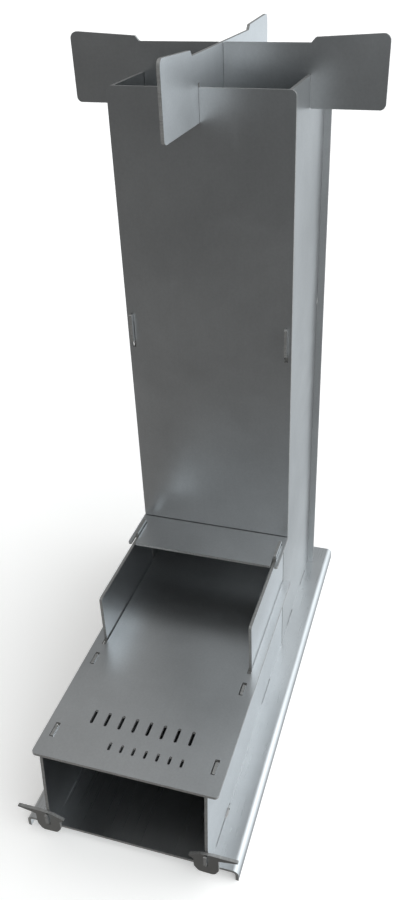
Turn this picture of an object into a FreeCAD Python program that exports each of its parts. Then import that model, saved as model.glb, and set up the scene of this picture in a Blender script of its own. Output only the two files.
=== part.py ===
import FreeCAD, Part
import math
import os

# Rocket stove cut from 2 mm sheet steel, slotted together without screws.
# Millimetres. +Z up, the fuel tunnel points to -Y, +X is the right side seen from the front.
# The row origin is the centre of the bounding box, on the ground under the base's folded lips.
# Inside the script Y is measured from the front panel's outer face, and moved by SHIFT_Y at the end.

V = FreeCAD.Vector

# ---- sheet and clearances ----
T = 2.0                      # sheet thickness
SLIP = 0.3                   # room on each side of a sheet in a slot

# ---- heights above the ground ----
BASE_TOP = 9.4               # upper face of the base
SHELF_TOP = 76.0             # upper face of the fuel shelf
COVER_TOP = 116.6            # upper face of the hopper cover
CHIMNEY_TOP = 432.4          # top edge of the four chimney panels
SUPPORT_BOTTOM = 413.2       # lower edge of the pot supports
SUPPORT_SEAT = 450.1         # recessed middle of the pot supports' top edge
SUPPORT_SHOULDER = 453.2     # inner end of the raised flags
SUPPORT_TIP = 455.6          # outer end of the raised flags, where the pot stands

# ---- plan sizes ----
WALL_X = 55.0                # outer face of the side panels and tunnel walls
FRONT_HALF = 57.5            # half width of the front panel
BACK_HALF = 60.0             # half width of the back panel
SHELF_HALF = 61.2            # half width of the fuel shelf
COVER_HALF = 58.0            # half width of the hopper cover
BASE_HALF = 73.5             # half width of the base, over its lips
BACK_Y = 102.3               # inner face of the back panel
BASE_FRONT = -203.3          # front edge of the base
BASE_BACK = 124.7            # rear edge of the base
SHELF_FRONT = -200.9         # front edge of the shelf
SHELF_TONGUE = 30.0          # rear end of the shelf, inside the chimney
WALL_FRONT = -201.4          # front edge of a tunnel wall under the shelf
TOE_Y = -205.9               # front edge of a tunnel wall near the base
TOE_TOP = 31.2               # height where the raked front edge meets the toe
CHEEK_FRONT = -98.2          # front edge of the cheeks beside the feed opening
COVER_FRONT = -35.8          # front edge of the hopper cover
SEAM_Y = -1.8                # joint between a tunnel wall and a side panel
SEAM_GAP = 1.4               # open gap in that joint

# ---- hooks that hang the front and back panels on the side panels ----
NECK_LOW = 268.2
NECK_HIGH = 283.0
TONGUE_HIGH = 288.1
HOOK_OUT = 3.2               # how far a hook stands out of the panel
PANEL_SLOT_LOW = 263.2
BACK_SLIP = 0.1              # the back panel's slots end almost flush with the side panels

# ---- tabs ----
TAB_RISE = 0.8               # shelf tabs above the shelf's upper face
SHELF_TABS = ((-186.0, -177.3), (-122.3, -113.6))
SHELF_SLOTS = ((-186.2, -175.0), (-122.5, -111.3))
COVER_TAB = (-27.4, -9.4)
COVER_TAB_RISE = 3.2
FOOT_Z = 5.9                 # lower end of the tabs that pass through the base
WALL_FEET = ((-190.0, -169.0), (-70.0, -45.0))
SLOT_TAIL = -158.0           # rear end of the slot behind the front foot
TAIL_IN = 1.0                # how far that open tail reaches under the wall
MOUTH_LONG = 7.0             # wider mouth of the tail
MOUTH_OUT = 1.1              # how far that mouth reaches outwards
SIDE_FEET = ((16.0, 36.0), (68.0, 88.0))
BACK_FOOT_HALF = 18.0

# ---- pot supports ----
CENTRE_Y = (T + BACK_Y) / 2  # middle of the flue
CROSS_HALF = 101.5           # half length of the left-right support
CROSS_STEP = 56.0
LONG_HALF = 112.8            # half length of the front-back support
LONG_STEP = 62.5
LONG_X = -1.0                # the front-back support sits a little left of the middle
SLOT_TOP_CROSS = 432.4       # the left-right support rests on the side panels
SLOT_TOP_LONG = 434.8        # the front-back support rests in the other one, clear of the panels
HALF_LAP = (SUPPORT_BOTTOM + SUPPORT_SEAT) / 2
SLOT_END_R = 0.25            # corner radius at the closed end of a slot, inside the slip

# ---- lock keys on the tunnel's toes ----
KEY_BACK = -206.2            # rear face of a key
KEY_HANG = 23.4              # top of the hook's neck that carries the key
KEY_LIFT = 3.2               # height of the hook's tongue above the neck
KEY_NECK = 5.6
HOOK_THICK = 1.4             # how far the hook stands in front of the key

# ---- folded base ----
BEND_OUT = 4.0               # outer bend radius of the lips

SHIFT_Y = 22.34              # moves the row origin under the middle of the bounding box


def rounded_wire(corners):
    """Closed wire through (a, b, radius) corners, drawn in the XY plane."""
    n = len(corners)
    pts = [V(c[0], c[1], 0) for c in corners]
    rads = [c[2] if len(c) > 2 else 0.0 for c in corners]
    starts = []
    ends = []
    mids = []
    for i in range(n):
        p = pts[i]
        u = (pts[i - 1] - p).normalize()
        w = (pts[(i + 1) % n] - p).normalize()
        half = u.getAngle(w) / 2
        if rads[i] <= 0 or half > math.pi / 2 - 1e-3:
            starts.append(p)
            ends.append(p)
            mids.append(None)
            continue
        reach = rads[i] / math.tan(half)
        centre = p + (u + w).normalize() * (rads[i] / math.sin(half))
        starts.append(p + u * reach)
        ends.append(p + w * reach)
        mids.append(centre + (p - centre).normalize() * rads[i])
    edges = []
    for i in range(n):
        if mids[i] is not None:
            edges.append(Part.Arc(starts[i], mids[i], ends[i]).toShape())
        nxt = starts[(i + 1) % n]
        if (nxt - ends[i]).Length > 1e-6:
            edges.append(Part.LineSegment(ends[i], nxt).toShape())
    return Part.Wire(edges)


def sheet_xy(corners, low, holes=(), thickness=T):
    """Flat sheet cut to (x, y, radius) corners, lying with its lower face at z = low."""
    wires = [rounded_wire(corners)] + [rounded_wire(h) for h in holes]
    face = Part.makeFace(wires, "Part::FaceMakerBullseye")
    solid = face.extrude(V(0, 0, thickness))
    solid.translate(V(0, 0, low))
    return solid


def sheet_xz(corners, front, holes=()):
    """Upright sheet cut to (x, z, radius) corners, with its front face at y = front."""
    solid = sheet_xy(corners, 0, holes)
    solid.rotate(V(0, 0, 0), V(1, 0, 0), 90)
    solid.translate(V(0, front + T, 0))
    return solid


def sheet_yz(corners, left, holes=()):
    """Upright sheet cut to (y, z, radius) corners, with its left face at x = left."""
    solid = sheet_xy(corners, 0, holes)
    solid.rotate(V(0, 0, 0), V(1, 0, 0), 90)
    solid.rotate(V(0, 0, 0), V(0, 0, 1), 90)
    solid.translate(V(left, 0, 0))
    return solid


def box_hole(a0, a1, b0, b1, r=0.4):
    """Corners of a rectangular slot with small corner radii."""
    return [(a0, b0, r), (a1, b0, r), (a1, b1, r), (a0, b1, r)]


def mirrored(solid):
    """The left-hand twin of a right-hand piece."""
    return solid.mirror(V(0, 0, 0), V(1, 0, 0))


def lips_profile():
    """Section of the folded base in the XZ plane: a flat top with a lip down each long side."""
    inner = BEND_OUT - T
    half = BASE_HALF
    return [
        (-half, 0), (-half, BASE_TOP, BEND_OUT), (half, BASE_TOP, BEND_OUT), (half, 0),
        (half - T, 0), (half - T, BASE_TOP - T, inner), (-half + T, BASE_TOP - T, inner), (-half + T, 0),
    ]


def base_plate():
    """Base with folded lips, and a slot for every foot."""
    face = Part.makeFace([rounded_wire(lips_profile())], "Part::FaceMakerBullseye")
    solid = face.extrude(V(0, 0, BASE_BACK - BASE_FRONT))
    solid.rotate(V(0, 0, 0), V(1, 0, 0), 90)
    solid.translate(V(0, BASE_BACK, 0))
    cutters = []
    for side in (-1, 1):
        slots = [(WALL_X - T - SLIP, WALL_X + SLIP, a - SLIP, b + SLIP) for a, b in WALL_FEET + SIDE_FEET]
        # behind the front foot the slot runs on as an open tail that widens outwards
        tail = WALL_FEET[0][1]
        slots.append((WALL_X - TAIL_IN, WALL_X + SLIP, tail, SLOT_TAIL))
        slots.append((WALL_X - TAIL_IN, WALL_X + MOUTH_OUT, tail + 0.2, tail + 0.2 + MOUTH_LONG))
        for inner, outer, y0, y1 in slots:
            corner = V(min(side * inner, side * outer), y0, BASE_TOP - 2 * T)
            cutters.append(Part.makeBox(outer - inner, y1 - y0, 3 * T, corner))
    back = Part.makeBox(2 * BACK_FOOT_HALF + 2 * SLIP, T + 2 * SLIP, 3 * T)
    back.translate(V(-BACK_FOOT_HALF - SLIP, BACK_Y - SLIP, BASE_TOP - 2 * T))
    cutters.append(back)
    return solid.cut(Part.makeCompound(cutters)).removeSplitter()


def tunnel_wall():
    """Right tunnel wall with its cheek: toe hook, shelf tabs, cover tab and feet."""
    under_shelf = SHELF_TOP - T
    under_cover = COVER_TOP - T
    hook_front = KEY_BACK - T - 0.3 - HOOK_THICK
    neck_low = KEY_HANG - KEY_NECK
    pts = [(TOE_Y, BASE_TOP, 1.0), (TOE_Y, neck_low), (hook_front, neck_low, 0.6)]
    pts += [(hook_front, KEY_HANG + KEY_LIFT, 0.6), (KEY_BACK - T - 0.3, KEY_HANG + KEY_LIFT, 0.6)]
    pts += [(KEY_BACK - T - 0.3, KEY_HANG), (TOE_Y, KEY_HANG), (TOE_Y, TOE_TOP), (WALL_FRONT, under_shelf)]
    for a, b in SHELF_TABS:
        pts += [(a, under_shelf), (a, SHELF_TOP + TAB_RISE, 0.4)]
        pts += [(b, SHELF_TOP + TAB_RISE, 0.4), (b, under_shelf)]
    pts += [(CHEEK_FRONT, under_shelf), (CHEEK_FRONT, under_cover, 2.0)]
    pts += [(COVER_TAB[0], under_cover), (COVER_TAB[0], COVER_TOP + COVER_TAB_RISE, 0.8)]
    pts += [(COVER_TAB[1], COVER_TOP + COVER_TAB_RISE, 0.8), (COVER_TAB[1], under_cover)]
    rear = SEAM_Y - SEAM_GAP
    pts += [(rear, under_cover), (rear, BASE_TOP)]
    for a, b in reversed(WALL_FEET):
        pts += [(b, BASE_TOP), (b, FOOT_Z, 0.8), (a, FOOT_Z, 0.8), (a, BASE_TOP)]
    return sheet_yz(pts, WALL_X - T)


def side_panel():
    """Right chimney side: ledge for the cover, a hook on each upright edge, feet."""
    front = T + 0.15
    rear = BACK_Y - 0.2
    ledge = COVER_TOP - T
    pts = [(SEAM_Y, BASE_TOP), (SEAM_Y, ledge), (front, ledge), (front, NECK_LOW)]
    pts += [(-HOOK_OUT, NECK_LOW, 1.0), (-HOOK_OUT, TONGUE_HIGH, 1.2), (-0.25, TONGUE_HIGH, 0.6)]
    pts += [(-0.25, NECK_HIGH), (front, NECK_HIGH), (front, CHIMNEY_TOP, 1.0), (rear, CHIMNEY_TOP, 1.0)]
    back_face = BACK_Y + T
    pts += [(rear, NECK_HIGH), (back_face + 0.25, NECK_HIGH), (back_face + 0.25, TONGUE_HIGH, 0.6)]
    pts += [(back_face + HOOK_OUT, TONGUE_HIGH, 1.2), (back_face + HOOK_OUT, NECK_LOW, 1.0)]
    pts += [(rear, NECK_LOW), (rear, BASE_TOP)]
    for a, b in reversed(SIDE_FEET):
        pts += [(b, BASE_TOP), (b, FOOT_Z, 0.8), (a, FOOT_Z, 0.8), (a, BASE_TOP)]
    return sheet_yz(pts, WALL_X - T)


def hook_slots(outer_slip):
    """The two slots that a panel hangs by, with their own room beside the hooks' outer faces."""
    inner = WALL_X - T - SLIP
    outer = WALL_X + outer_slip
    spans = ((inner, outer), (-outer, -inner))
    return [box_hole(a, b, PANEL_SLOT_LOW, NECK_HIGH, SLOT_END_R) for a, b in spans]


def front_panel():
    """Chimney front, hung on the side panels' hooks just clear of the hopper cover."""
    low = COVER_TOP + 0.5
    w = FRONT_HALF
    pts = [(-w, low, 0.8), (w, low, 0.8), (w, CHIMNEY_TOP, 3.5), (-w, CHIMNEY_TOP, 3.5)]
    return sheet_xz(pts, 0.0, hook_slots(SLIP))


def back_panel():
    """Chimney back, full height, with one wide foot in the base."""
    w = BACK_HALF
    f = BACK_FOOT_HALF
    pts = [(-w, BASE_TOP, 0.8), (-f, BASE_TOP), (-f, FOOT_Z, 0.8), (f, FOOT_Z, 0.8), (f, BASE_TOP)]
    pts += [(w, BASE_TOP, 0.8), (w, CHIMNEY_TOP, 3.0), (-w, CHIMNEY_TOP, 3.0)]
    return sheet_xz(pts, BACK_Y, hook_slots(BACK_SLIP))


def vent_slots():
    """Plain air slots near the shelf's front edge: a row of long ones and a row of short ones."""
    holes = []
    for i in range(8):
        x = -34.0 + 9.6 * i
        holes.append(box_hole(x - 1.1, x + 1.1, -170.0, -159.0, 1.0))
    for i in range(7):
        x = -15.0 + 8.0 * i
        holes.append(box_hole(x - 0.9, x + 0.9, -186.5, -180.5, 0.8))
    return holes


def fuel_shelf():
    """Roof of the air tunnel and floor of the feed opening, with a long open slot for each cheek."""
    s = SHELF_HALF
    slot_front = CHEEK_FRONT - 5.0
    strip_end = SEAM_Y - 0.8
    outline = []
    for side, outer, inner in ((1, WALL_X + 0.6, WALL_X - T - 0.2), (-1, -WALL_X - 0.2, -WALL_X + T + 0.7)):
        half = [(side * s, SHELF_FRONT, 2.5), (side * s, strip_end, 1.5), (outer, strip_end, 0.8)]
        half += [(outer, slot_front, 0.8), (inner, slot_front, 0.8), (inner, SHELF_TONGUE, 2.0)]
        outline += half if side > 0 else half[::-1]
    holes = vent_slots()
    for y0, y1 in SHELF_SLOTS:
        holes.append(box_hole(WALL_X - T - 0.9, WALL_X + 0.15, y0, y1))
        holes.append(box_hole(-WALL_X - 0.9, -WALL_X + T + 0.15, y0, y1))
    return sheet_xy(outline, SHELF_TOP - T, holes)


def hopper_cover():
    """Strip over the rear of the feed opening; its front slots straddle the cheeks' tabs."""
    c = COVER_HALF
    slot_in = WALL_X - T - 0.5
    slot_out = WALL_X + 0.4
    slot_rear = COVER_TAB[1] + 0.2
    right = [(slot_in, COVER_FRONT, 0.8), (slot_in, slot_rear, 0.4), (slot_out, slot_rear, 0.4)]
    right += [(slot_out, COVER_FRONT, 1.0), (c, COVER_FRONT, 1.2), (c, T, 1.0)]
    left = [(-x, y, r) for x, y, r in reversed(right)]
    return sheet_xy(right + left, COVER_TOP - T)


def support_corners(middle, half, step, slot_at, slot_top, lap_at, lap_up):
    """Corners of a pot support: raised flags at both ends, and three slots."""
    gap = T / 2 + SLIP
    pts = [(middle - half, SUPPORT_BOTTOM, 3.5)]
    lower = [(s, slot_top) for s in slot_at]
    if not lap_up:
        lower.append((lap_at, HALF_LAP))
    for s, top in sorted(lower):
        pts += [(s - gap, SUPPORT_BOTTOM, 0.8), (s - gap, top, SLOT_END_R)]
        pts += [(s + gap, top, SLOT_END_R), (s + gap, SUPPORT_BOTTOM, 0.8)]
    pts += [(middle + half, SUPPORT_BOTTOM, 3.5), (middle + half + 0.3, SUPPORT_TIP, 4.2)]
    pts += [(middle + step + 1.6, SUPPORT_SHOULDER, 1.2), (middle + step - 1.2, SUPPORT_SEAT, 1.0)]
    if lap_up:
        pts += [(lap_at + gap, SUPPORT_SEAT, 0.8), (lap_at + gap, HALF_LAP, SLOT_END_R)]
        pts += [(lap_at - gap, HALF_LAP, SLOT_END_R), (lap_at - gap, SUPPORT_SEAT, 0.8)]
    pts += [(middle - step + 1.2, SUPPORT_SEAT, 1.0), (middle - step - 1.6, SUPPORT_SHOULDER, 1.2)]
    pts += [(middle - half - 0.3, SUPPORT_TIP, 4.2)]
    return pts


def pot_support_cross():
    """Left-right pot support: its outer slots sit on the side panels' top edges."""
    seats = (-WALL_X + T / 2, WALL_X - T / 2)
    pts = support_corners(0.0, CROSS_HALF, CROSS_STEP, seats, SLOT_TOP_CROSS, LONG_X, True)
    return sheet_xz(pts, CENTRE_Y - T / 2)


def pot_support_long():
    """Front-back pot support: it drops over the other one and straddles the front and back panels."""
    seats = (T / 2, BACK_Y + T / 2)
    pts = support_corners(CENTRE_Y, LONG_HALF, LONG_STEP, seats, SLOT_TOP_LONG, CENTRE_Y, False)
    return sheet_yz(pts, LONG_X - T / 2)


def lock_key():
    """Right lock key, hung on the toe's hook: a rounded plate with a tapered outer wing and an inner ear."""
    c = WALL_X - T / 2
    outline = [
        (-5.2, 8.4, 3.0), (5.4, 8.0, 3.6), (8.3, 13.4, 3.2), (8.3, 23.6, 0.5), (20.9, 26.2, 0.4),
        (20.9, 27.3, 0.4), (4.5, 27.5, 1.5), (-3.5, 26.4, 2.5), (-11.3, 23.2, 0.4),
        (-11.0, 21.8, 0.4), (-8.2, 20.2, 0.6), (-8.2, 12.8, 3.2),
    ]
    pts = [(c + u, z, r) for u, z, r in outline]
    slot = box_hole(c - T / 2 - SLIP, c + T / 2 + SLIP, KEY_HANG - KEY_NECK - KEY_LIFT, KEY_HANG, 0.3)
    return sheet_xz(pts, KEY_BACK - T, [slot])


def main():
    os.makedirs("parts", exist_ok=True)
    wall = tunnel_wall()
    side = side_panel()
    key = lock_key()
    nodes = {
        "base_plate": base_plate(),
        "tunnel_wall_right": wall,
        "tunnel_wall_left": mirrored(wall),
        "side_panel_right": side,
        "side_panel_left": mirrored(side),
        "front_panel": front_panel(),
        "back_panel": back_panel(),
        "fuel_shelf": fuel_shelf(),
        "hopper_cover": hopper_cover(),
        "pot_support_cross": pot_support_cross(),
        "pot_support_long": pot_support_long(),
        "lock_key_right": key,
        "lock_key_left": mirrored(key),
    }
    total = None
    for name, solid in nodes.items():
        solid.translate(V(0, SHIFT_Y, 0))
        if solid.ShapeType == "Compound" and len(solid.Solids) == 1:
            solid = solid.Solids[0]
        box = solid.BoundBox
        print(name, solid.ShapeType, solid.isValid(), round(solid.Volume, 1), box)
        total = box if total is None else total.united(box)
        solid.exportStep("parts/" + name + ".step")
    print("whole", total)


main()
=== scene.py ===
import math

import bpy
from mathutils import Matrix, Vector

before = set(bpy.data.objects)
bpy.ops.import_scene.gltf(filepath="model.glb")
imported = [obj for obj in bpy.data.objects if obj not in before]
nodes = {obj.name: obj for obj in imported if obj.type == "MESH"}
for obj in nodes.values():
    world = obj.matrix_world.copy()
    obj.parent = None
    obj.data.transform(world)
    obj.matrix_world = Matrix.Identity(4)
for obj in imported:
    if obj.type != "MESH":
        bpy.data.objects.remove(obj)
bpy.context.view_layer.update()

# ---------------------------------------------------------------- camera
# The camera's place, and its own axes as unit vectors: right and down in the picture, and straight ahead.
CAMERA_PLACE = (0.161192, -0.468605, 0.514599)
CAMERA_RIGHT = (0.958737, 0.283119, -0.025835)
CAMERA_DOWN = (0.131068, -0.520815, -0.843548)
CAMERA_AHEAD = (-0.252280, 0.805354, -0.536432)
FOCAL_PX = 837.75
IMAGE_HIGH_PX = 900
SENSOR = 36.0
SHIFT_X = -0.0192
SHIFT_Y = -0.0005
NEAREST = 0.01
FARTHEST = 50.0


def make_camera():
    data = bpy.data.cameras.new("camera")
    data.sensor_width = SENSOR
    data.lens = FOCAL_PX / IMAGE_HIGH_PX * SENSOR
    data.shift_x = SHIFT_X
    data.shift_y = SHIFT_Y
    data.clip_start = NEAREST
    data.clip_end = FARTHEST
    cam = bpy.data.objects.new("camera", data)
    right, down, ahead = Vector(CAMERA_RIGHT), Vector(CAMERA_DOWN), Vector(CAMERA_AHEAD)
    turn = Matrix((right, -down, -ahead)).transposed().to_4x4()
    cam.matrix_world = Matrix.Translation(CAMERA_PLACE) @ turn
    bpy.context.scene.collection.objects.link(cam)
    bpy.context.scene.camera = cam


# ---------------------------------------------------------------- node helpers
class Graph:
    """A short way to write a shader: most calls add nodes and return the last one's output."""

    def __init__(self, tree):
        self.tree = tree
        tree.nodes.clear()

    def add(self, kind, **settings):
        node = self.tree.nodes.new(kind)
        for key, value in settings.items():
            setattr(node, key, value)
        return node

    def put(self, socket, value):
        if isinstance(value, bpy.types.NodeSocket):
            self.tree.links.new(value, socket)
        else:
            socket.default_value = value

    def math(self, operation, a, b=0.0, c=0.0):
        node = self.add("ShaderNodeMath", operation=operation)
        for socket, value in zip(node.inputs, (a, b, c)):
            self.put(socket, value)
        return node.outputs[0]

    def vary(self, level, pattern, amount):
        """Adds a pattern that runs from 0 to 1 to a level, so that the pattern's middle changes nothing."""
        return self.math("MULTIPLY_ADD", pattern, amount, self.math("SUBTRACT", level, amount / 2))

    def vector(self, operation, a, b=(0.0, 0.0, 0.0)):
        node = self.add("ShaderNodeVectorMath", operation=operation)
        self.put(node.inputs[0], a)
        self.put(node.inputs[1], b)
        return node.outputs["Value" if operation == "DOT_PRODUCT" else "Vector"]

    def split(self, value):
        node = self.add("ShaderNodeSeparateXYZ")
        self.put(node.inputs[0], value)
        return node.outputs

    def ramp(self, value, low, high):
        node = self.add("ShaderNodeMapRange", interpolation_type="SMOOTHSTEP")
        for socket, item in zip(node.inputs, (value, low, high)):
            self.put(socket, item)
        return node.outputs[0]

    def noise(self, where, scale, detail, rough, warp):
        node = self.add("ShaderNodeTexNoise")
        self.put(node.inputs["Vector"], where)
        for key, value in (("Scale", scale), ("Detail", detail), ("Roughness", rough), ("Distortion", warp)):
            self.put(node.inputs[key], value)
        return node.outputs["Fac"]

    def mix(self, factor, a, b):
        # a colour mix takes its two colours in sockets 6 and 7, and gives the result in output 2
        node = self.add("ShaderNodeMix", data_type="RGBA")
        self.put(node.inputs["Factor"], factor)
        self.put(node.inputs[6], a)
        self.put(node.inputs[7], b)
        return node.outputs[2]

    def scale_colour(self, colour, amount):
        node = self.add("ShaderNodeVectorMath", operation="SCALE")
        self.put(node.inputs[0], colour)
        self.put(node.inputs["Scale"], amount)
        return node.outputs[0]


# ---------------------------------------------------------------- materials
SHEET_TINT = (0.575, 0.585, 0.59)
# Painted light: the tunnel walls and the long pot support are the same steel, given this brighter tint so
# they look more strongly lit.
PAINTED_LIT_TINT = (0.68, 0.70, 0.715)
DULL_TINT = (0.31, 0.305, 0.295)
CUT_TINT = (0.37, 0.365, 0.355)

# Noises, each as scale per metre, detail, roughness and distortion.
STREAKS = (1400.0, 2.0, 0.6, 0.0)
# The broad blotches are partly the steel's own uneven tone and partly painted sheen, standing in for the
# reflections of a slightly wavy panel.
BLOTCHES_AND_SHEEN = (8.0, 3.0, 0.55, 0.6)
CLOUDS = (55.0, 4.0, 0.6, 0.3)
GRAIN = (700.0, 1.0, 0.5, 0.0)
SMUDGES = (30.0, 5.0, 0.7, 1.2)
WAVES = (9.0, 1.0, 0.4, 0.0)
DROSS = (1.0, 2.0, 0.6, 0.0)     # on coordinates that DROSS_ACROSS and DROSS_ALONG have scaled

STREAK_SQUEEZE = 0.012           # draws the streaks out along the rolling direction
DROSS_ACROSS = 60.0              # the cutting marks are long through the sheet's thickness
DROSS_ALONG = 900.0              # and close together along its edge
SMUDGE_LOW = 0.52                # noise below this is clean sheet
SMUDGE_HIGH = 0.75               # noise above this is fully smudged

# How much each pattern changes the brightness.
# The blotches' amount is also the strength of their painted sheen.
BLOTCH_AND_SHEEN_TONE = 0.5
CLOUD_TONE = 0.12
GRAIN_TONE = 0.12
GRAIN_TONE_FOLDED = 0.05
STREAK_TONE = 0.04
DROSS_TONE = 0.7

# How much streaks, smudges and cut edges change the roughness.
STREAK_ROUGH = 0.04
SMUDGE_ROUGH = 0.04
EDGE_ROUGH = 0.14

METALLIC = 1.0
EDGE_METAL_LOSS = 0.15
WAVE_HEIGHT = 0.006
DROSS_HEIGHT = 0.00006
BUMP_STRENGTH = 0.5

SIDEWAYS = 0.5                   # on a flat sheet's cut edge, less of the normal than this points through it
SQUARE_ON = 0.8                  # on the folded sheet's cut edges, more than this points along X or Y
SLOTS_HALF = 0.070               # the base's slots lie inside this half width, and its bends outside
LIP_END = 0.0002                 # the lips' cut edges lie below this height

BEVEL = 0.00022
BEVEL_STEPS = 2
BEVEL_ANGLE = 0.7

X, Y, Z = 0, 1, 2


def flat_edge(g, coord, across):
    """1 on the cut edge of a flat sheet, 0 on its faces."""
    facing = g.split(g.vector("ABSOLUTE", coord.outputs["Normal"]))
    return g.math("LESS_THAN", facing[across], SIDEWAYS)


def folded_edge(g, coord):
    """1 on the cut edges of the folded base: in its slots, at both ends and under the lips."""
    facing = g.split(g.vector("ABSOLUTE", coord.outputs["Normal"]))
    spot = g.split(coord.outputs["Object"])
    inboard = g.math("LESS_THAN", g.math("ABSOLUTE", spot[X]), SLOTS_HALF)
    slot_side = g.math("MULTIPLY", g.math("GREATER_THAN", facing[X], SQUARE_ON), inboard)
    end_side = g.math("GREATER_THAN", facing[Y], SQUARE_ON)
    low_side = g.math("LESS_THAN", spot[Z], LIP_END)
    return g.math("MAXIMUM", g.math("MAXIMUM", slot_side, end_side), low_side)


def stretched_noise(g, place, stretch, settings):
    return g.noise(g.vector("MULTIPLY", place, tuple(stretch)), *settings)


def steel_tone(g, place, streaks, grain_tone):
    """Brightness of the sheet's faces, around 1. Its broad blotches carry painted sheen as well as the
    steel's own tone.
    """
    layers = (
        (g.noise(place, *BLOTCHES_AND_SHEEN), BLOTCH_AND_SHEEN_TONE),
        (g.noise(place, *CLOUDS), CLOUD_TONE),
        (g.noise(place, *GRAIN), grain_tone),
        (streaks, STREAK_TONE),
    )
    tone = 1.0
    for pattern, amount in layers:
        tone = g.vary(tone, pattern, amount)
    return tone


def sheet_steel(name, across, grain_axis, tint, rough, seed, folded):
    """Satin sheet steel. across is the axis through its thickness, grain_axis the rolling direction."""
    mat = bpy.data.materials.new(name)
    mat.use_nodes = True
    g = Graph(mat.node_tree)
    coord = g.add("ShaderNodeTexCoord")
    place = g.vector("ADD", coord.outputs["Object"], (seed, seed * 0.7, seed * 1.3))

    along_grain = [1.0, 1.0, 1.0]
    along_grain[grain_axis] = STREAK_SQUEEZE
    streaks = stretched_noise(g, place, along_grain, STREAKS)
    through_sheet = [DROSS_ALONG, DROSS_ALONG, DROSS_ALONG]
    through_sheet[across] = DROSS_ACROSS
    dross = stretched_noise(g, place, through_sheet, DROSS)
    smudge = g.ramp(g.noise(place, *SMUDGES), SMUDGE_LOW, SMUDGE_HIGH)
    edge = folded_edge(g, coord) if folded else flat_edge(g, coord, across)

    grain_tone = GRAIN_TONE_FOLDED if folded else GRAIN_TONE
    face_colour = g.scale_colour(tint, steel_tone(g, place, streaks, grain_tone))
    cut_colour = g.scale_colour(CUT_TINT, g.vary(1.0, dross, DROSS_TONE))

    roughness = g.vary(rough, streaks, STREAK_ROUGH)
    roughness = g.math("MULTIPLY_ADD", smudge, SMUDGE_ROUGH, roughness)
    roughness = g.math("MULTIPLY_ADD", edge, EDGE_ROUGH, roughness)

    height = g.math("MULTIPLY", g.noise(place, *WAVES), WAVE_HEIGHT)
    height = g.math("MULTIPLY_ADD", g.math("MULTIPLY", edge, dross), DROSS_HEIGHT, height)
    bump = g.add("ShaderNodeBump")
    g.put(bump.inputs["Strength"], BUMP_STRENGTH)
    g.put(bump.inputs["Distance"], 1.0)
    g.put(bump.inputs["Height"], height)

    skin = g.add("ShaderNodeBsdfPrincipled")
    g.put(skin.inputs["Base Color"], g.mix(edge, face_colour, cut_colour))
    g.put(skin.inputs["Metallic"], g.math("MULTIPLY_ADD", edge, -EDGE_METAL_LOSS, METALLIC))
    g.put(skin.inputs["Roughness"], roughness)
    g.put(skin.inputs["Normal"], bump.outputs[0])
    out = g.add("ShaderNodeOutputMaterial")
    g.put(out.inputs[0], skin.outputs[0])
    return mat


def dress(node, mat):
    """Gives a CAD piece its material and takes the sharpness off its edges."""
    obj = nodes[node]
    obj.data.materials.clear()
    obj.data.materials.append(mat)
    mod = obj.modifiers.new("worn_edges", "BEVEL")
    mod.width = BEVEL
    mod.segments = BEVEL_STEPS
    mod.limit_method = "ANGLE"
    mod.angle_limit = BEVEL_ANGLE
    mod.harden_normals = True


# Each piece's node, the axis through its sheet, its rolling direction, tint, roughness, and if it is folded.
# The tunnel walls and the long pot support take the brighter tint, which is painted light on the same steel.
PIECES = (
    ("base_plate", Z, Y, SHEET_TINT, 0.28, True),
    ("tunnel_wall_left", X, Y, PAINTED_LIT_TINT, 0.30, False),
    ("tunnel_wall_right", X, Y, PAINTED_LIT_TINT, 0.30, False),
    ("side_panel_left", X, Z, SHEET_TINT, 0.30, False),
    ("side_panel_right", X, Z, SHEET_TINT, 0.30, False),
    ("front_panel", Y, Z, SHEET_TINT, 0.31, False),
    ("back_panel", Y, Z, SHEET_TINT, 0.31, False),
    ("fuel_shelf", Z, Y, SHEET_TINT, 0.30, False),
    ("hopper_cover", Z, X, SHEET_TINT, 0.30, False),
    ("pot_support_cross", Y, X, SHEET_TINT, 0.31, False),
    ("pot_support_long", X, Y, PAINTED_LIT_TINT, 0.42, False),
    ("lock_key_left", Y, X, DULL_TINT, 0.42, False),
    ("lock_key_right", Y, X, DULL_TINT, 0.42, False),
)
SEED_STEP = 3.7                  # moves the patterns on from one piece to the next


def dress_all():
    for number, (node, across, grain_axis, tint, rough, folded) in enumerate(PIECES):
        mat = sheet_steel("steel_" + node, across, grain_axis, tint, rough, SEED_STEP * number, folded)
        dress(node, mat)


# ---------------------------------------------------------------- studio
FLOOR_HALF = 15.0
FLOOR_COLOUR = (1.0, 0.97, 0.94, 1.0)
FLOOR_GLOW = 0.22
WHITE = (1.0, 1.0, 1.0, 1.0)

# Soft lights, each as compass direction (0 is +X, 90 is +Y), height in degrees, strength and tint.
COOL = (0.94, 1.0, 1.04)
PLAIN = (1.0, 1.0, 0.99)
SOFT_LIGHT = (
    (0, 90, 0.4, PLAIN),
    (0, 30, 1.1, COOL),
    (0, -30, 0.7, COOL),
    (45, 30, 1.5, COOL),
    (45, -30, 0.8, COOL),
    (180, 30, 0.5, PLAIN),
    (180, -30, 0.8, PLAIN),
    (225, -30, 0.1, PLAIN),
    (315, -30, 0.3, PLAIN),
    (315, 30, 1.5, COOL),
)
SOFTNESS = 4.0                   # the power of the cosine that fades each light out


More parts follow.
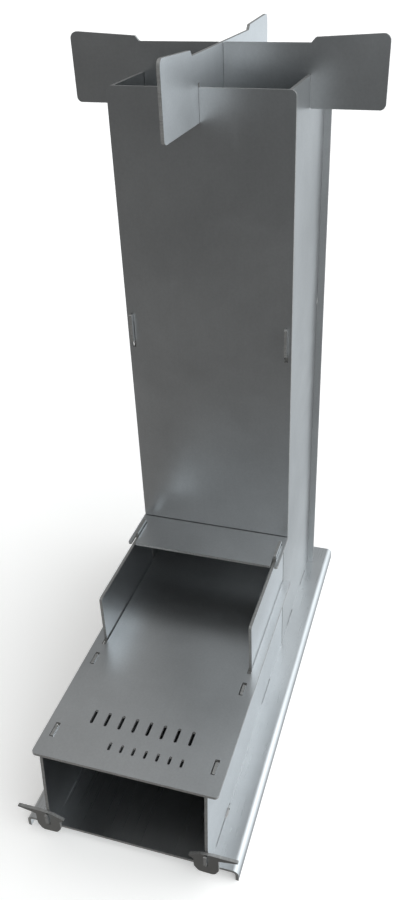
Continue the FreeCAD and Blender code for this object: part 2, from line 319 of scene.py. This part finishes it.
def make_floor():
    mesh = bpy.data.meshes.new("floor")
    s = FLOOR_HALF
    mesh.from_pydata([(-s, -s, 0), (s, -s, 0), (s, s, 0), (-s, s, 0)], [], [(0, 1, 2, 3)])
    floor = bpy.data.objects.new("floor", mesh)
    bpy.context.scene.collection.objects.link(floor)
    mat = bpy.data.materials.new("pale_floor")
    mat.use_nodes = True
    skin = mat.node_tree.nodes["Principled BSDF"]
    skin.inputs["Base Color"].default_value = FLOOR_COLOUR
    skin.inputs["Roughness"].default_value = 1.0
    skin.inputs["Specular IOR Level"].default_value = 0.0
    skin.inputs["Emission Color"].default_value = WHITE
    skin.inputs["Emission Strength"].default_value = FLOOR_GLOW
    mesh.materials.append(mat)
    floor.visible_glossy = False


def soft_lights(g):
    """Colour of the light that comes from each direction: the sum of the soft lights."""
    coord = g.add("ShaderNodeTexCoord")
    toward = g.vector("NORMALIZE", coord.outputs["Generated"])
    total = (0.0, 0.0, 0.0)
    for compass, height, strength, tint in SOFT_LIGHT:
        turn = math.radians(compass)
        rise = math.radians(height)
        aim = (math.cos(turn) * math.cos(rise), math.sin(turn) * math.cos(rise), math.sin(rise))
        near = g.math("MAXIMUM", g.vector("DOT_PRODUCT", toward, aim), 0.0)
        lobe = g.math("MULTIPLY", g.math("POWER", near, SOFTNESS), strength)
        total = g.vector("ADD", g.scale_colour(tint, lobe), total)
    return total


def make_world():
    """Lights the scene with the soft lights, and shows the camera a plain white backdrop."""
    world = bpy.data.worlds.new("studio")
    bpy.context.scene.world = world
    world.use_nodes = True
    g = Graph(world.node_tree)
    light = g.add("ShaderNodeBackground")
    g.put(light.inputs[0], soft_lights(g))
    plain = g.add("ShaderNodeBackground")
    g.put(plain.inputs[0], WHITE)
    ray = g.add("ShaderNodeLightPath")
    pick = g.add("ShaderNodeMixShader")
    g.put(pick.inputs[0], ray.outputs["Is Camera Ray"])
    g.put(pick.inputs[1], light.outputs[0])
    g.put(pick.inputs[2], plain.outputs[0])
    out = g.add("ShaderNodeOutputWorld")
    g.put(out.inputs[0], pick.outputs[0])


# ---------------------------------------------------------------- build
make_camera()
dress_all()
make_floor()
make_world()
bpy.context.scene.view_settings.view_transform = "Standard"
bpy.context.scene.view_settings.look = "None"
